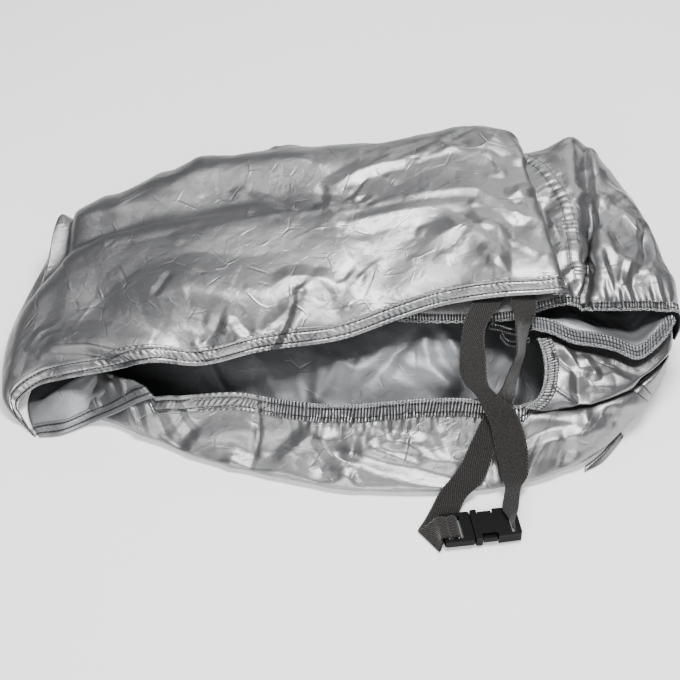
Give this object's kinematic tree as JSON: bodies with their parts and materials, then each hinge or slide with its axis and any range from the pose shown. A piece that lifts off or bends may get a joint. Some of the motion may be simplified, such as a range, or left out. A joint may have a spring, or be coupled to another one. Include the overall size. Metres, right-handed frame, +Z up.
{
  "type": "motorcycle cover",
  "caption": "Fitted cover of silver coated cloth, folded flat on the floor with its elastic mouth open and its webbing straps joined in a closed side-release buckle.",
  "frame": {"origin": "on the floor, under the middle of the folded cover and its buckle", "axes": "+Z up, -Y is the side of the mouth and the buckle, +X is the tail end"},
  "size_m": [0.6394, 0.506, 0.1466],
  "materials": {
    "silver_cloth": "silver coated taffeta, satin sheen",
    "webbing": "woven twill webbing",
    "buckle_plastic": "black, half matt"
  },
  "bodies": {
    "root": {"upper_panel": "silver_cloth", "tail_panel": "silver_cloth", "tail_flap": "silver_cloth", "gusset": "silver_cloth", "lower_panel": "silver_cloth", "tail_hem": "silver_cloth", "strap_fixed": "webbing", "strap_free": "webbing", "buckle_female": "buckle_plastic", "buckle_male": "buckle_plastic"}
  },
  "joints": []
}
